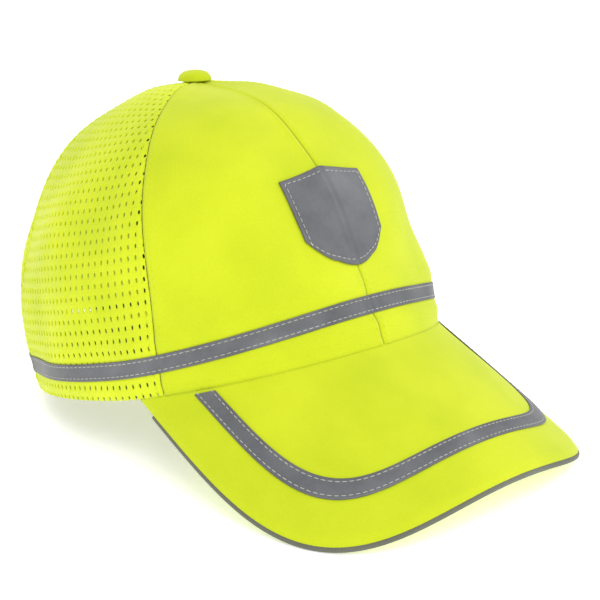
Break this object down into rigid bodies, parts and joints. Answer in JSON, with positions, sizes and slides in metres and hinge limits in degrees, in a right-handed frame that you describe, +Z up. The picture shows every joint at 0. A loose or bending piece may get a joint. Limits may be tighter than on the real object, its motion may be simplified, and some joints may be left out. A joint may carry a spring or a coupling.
{
  "type": "bump cap",
  "caption": "Baseball style bump cap with mesh back panels, reflective tapes, long brim, vented hard insert and peel-open closure.",
  "frame": {"origin": "middle of the footprint on the surface the cap stands on, resting on its closure band and brim corners", "axes": "+Z up from that surface, -Y towards the front of the cap, +X towards the wearer's left"},
  "size_m": [0.1802, 0.27, 0.1485],
  "materials": {
    "solid_cloth": "plain woven polyester in fluorescent lime, matte",
    "mesh_cloth": "perforated warp knit in fluorescent lime, matte",
    "band_cloth": "brushed knit band in lime, matte",
    "reflective_tape": "grey glass bead tape sewn on, satin",
    "piping": "grey woven edging, matte",
    "brim_plastic": "stiff polyethylene sheet",
    "label": "plain white satin ribbon",
    "loop_pile": "brushed loop pile in lime",
    "hook_tape": "hook tape in lime",
    "button_metal": "pressed button blank and rivet",
    "insert_plastic": "moulded ABS, fine grain",
    "edge_rubber": "soft extruded edge trim",
    "foam": "laminated foam with a brushed face"
  },
  "bodies": {
    "cap": {"front_panel_left": "solid_cloth", "front_panel_right": "solid_cloth", "side_panel_left": "mesh_cloth", "side_panel_right": "mesh_cloth", "rear_panel_left": "mesh_cloth", "rear_panel_right": "mesh_cloth", "seam_tape_front": "band_cloth", "seam_tape_side_left": "band_cloth", "seam_tape_side_right": "band_cloth", "seam_tape_rear_left": "band_cloth", "seam_tape_rear_right": "band_cloth", "seam_tape_rear": "band_cloth", "crown_tape": "reflective_tape", "front_badge": "reflective_tape", "brim_top_cover": "solid_cloth", "brim_board": "brim_plastic", "brim_under_cover": "solid_cloth", "brim_edge_piping": "piping", "brim_tape": "reflective_tape", "sweatband": "band_cloth", "care_label": "label", "rear_arch_binding": "solid_cloth", "hook_strap_root": "solid_cloth", "loop_strap": "solid_cloth", "loop_patch": "loop_pile", "button_cover": "solid_cloth", "button_core": "button_metal", "button_rivet": "button_metal"},
    "insert": {"insert_shell": "insert_plastic", "insert_edge_trim": "edge_rubber", "crown_pad": "foam", "front_pad": "foam", "rear_pad": "foam", "left_pad": "foam", "right_pad": "foam"},
    "strap_flap": {"hook_strap": "solid_cloth", "hook_patch": "hook_tape"}
  },
  "joints": [
    {"name": "insert_slide", "type": "slide", "parent": "cap", "child": "insert", "axis": [0, -0.2504, -0.9681], "range_m": [0, 0.12]},
    {"name": "strap_peel", "type": "hinge", "parent": "cap", "child": "strap_flap", "pos_m": [0.03656, 0.11371, 0.01183], "axis": [-0.0805, -0.4393, -0.8947], "range_deg": [0, 110]}
  ]
}
